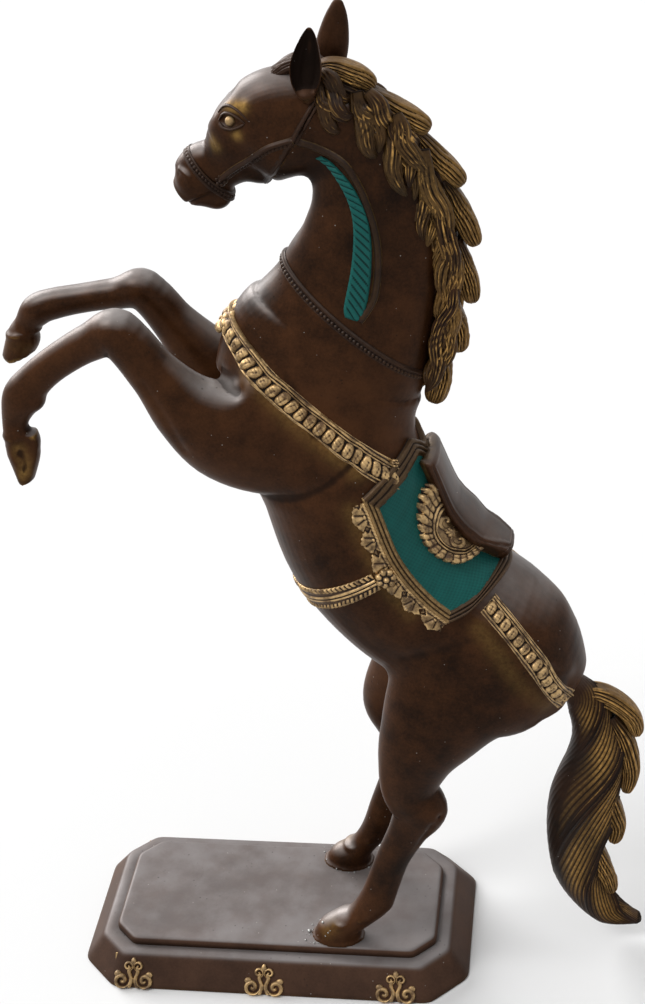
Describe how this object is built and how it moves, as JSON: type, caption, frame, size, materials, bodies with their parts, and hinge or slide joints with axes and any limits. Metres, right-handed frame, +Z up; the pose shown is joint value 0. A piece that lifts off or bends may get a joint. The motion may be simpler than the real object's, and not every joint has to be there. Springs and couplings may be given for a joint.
{
  "type": "rearing horse sculpture",
  "caption": "Cast brass rearing horse in dark patina with gilt harness, saddle and teal inlays, standing on its hind hooves on a stepped flared base with cut corners.",
  "frame": {"origin": "centre of the base's underside, where it stands on the surface", "axes": "+Z up, -X the way the horse faces, -Y the horse's left side"},
  "size_m": [0.3709, 0.14, 0.6113],
  "materials": {
    "patina": "dark brown chemical patina with a soft satin sheen",
    "gilt": "rubbed gold with dark recesses",
    "hair": "dark brown patina, rubbed gold on the strands",
    "enamel": "matt teal paint in the recesses",
    "base_patina": "grey brown satin patina with cloudy lighter patches",
    "steel": "plain zinc plated fasteners"
  },
  "bodies": {
    "root": {"trunk": "patina", "neck": "patina", "head": "patina", "foreleg_left": "patina", "foreleg_right": "patina", "hind_leg_left": "patina", "hind_leg_right": "patina", "ear_left": "patina", "ear_right": "patina", "saddle_seat": "patina", "neck_strap": "patina", "headstall": "patina", "noseband": "patina", "cheek_strap_left": "patina", "cheek_strap_right": "patina", "inlay_rim_left": "patina", "inlay_rim_right": "patina", "eye_left": "gilt", "eye_right": "gilt", "saddle_cloth": "gilt", "cloth_fringe_left": "gilt", "cloth_fringe_right": "gilt", "girth_rosette_left": "gilt", "girth_rosette_right": "gilt", "saddle_skirt_left": "gilt", "saddle_skirt_right": "gilt", "breast_collar": "gilt", "girth": "gilt", "collar_stud_left": "gilt", "collar_stud_right": "gilt", "hip_strap_left": "gilt", "hip_strap_right": "gilt", "scroll_front_1": "gilt", "scroll_front_2": "gilt", "scroll_front_3": "gilt", "scroll_back_1": "gilt", "scroll_back_2": "gilt", "scroll_back_3": "gilt", "forelock": "hair", "mane": "hair", "tail": "hair", "cloth_inlay_left": "enamel", "cloth_inlay_right": "enamel", "neck_inlay_left": "enamel", "neck_inlay_right": "enamel", "base_plinth": "base_patina", "deck_plate": "base_patina", "hoof_stud_left": "steel", "hoof_stud_right": "steel", "stud_washer_left": "steel", "stud_washer_right": "steel", "stud_nut_left": "steel", "stud_nut_right": "steel"}
  },
  "joints": []
}
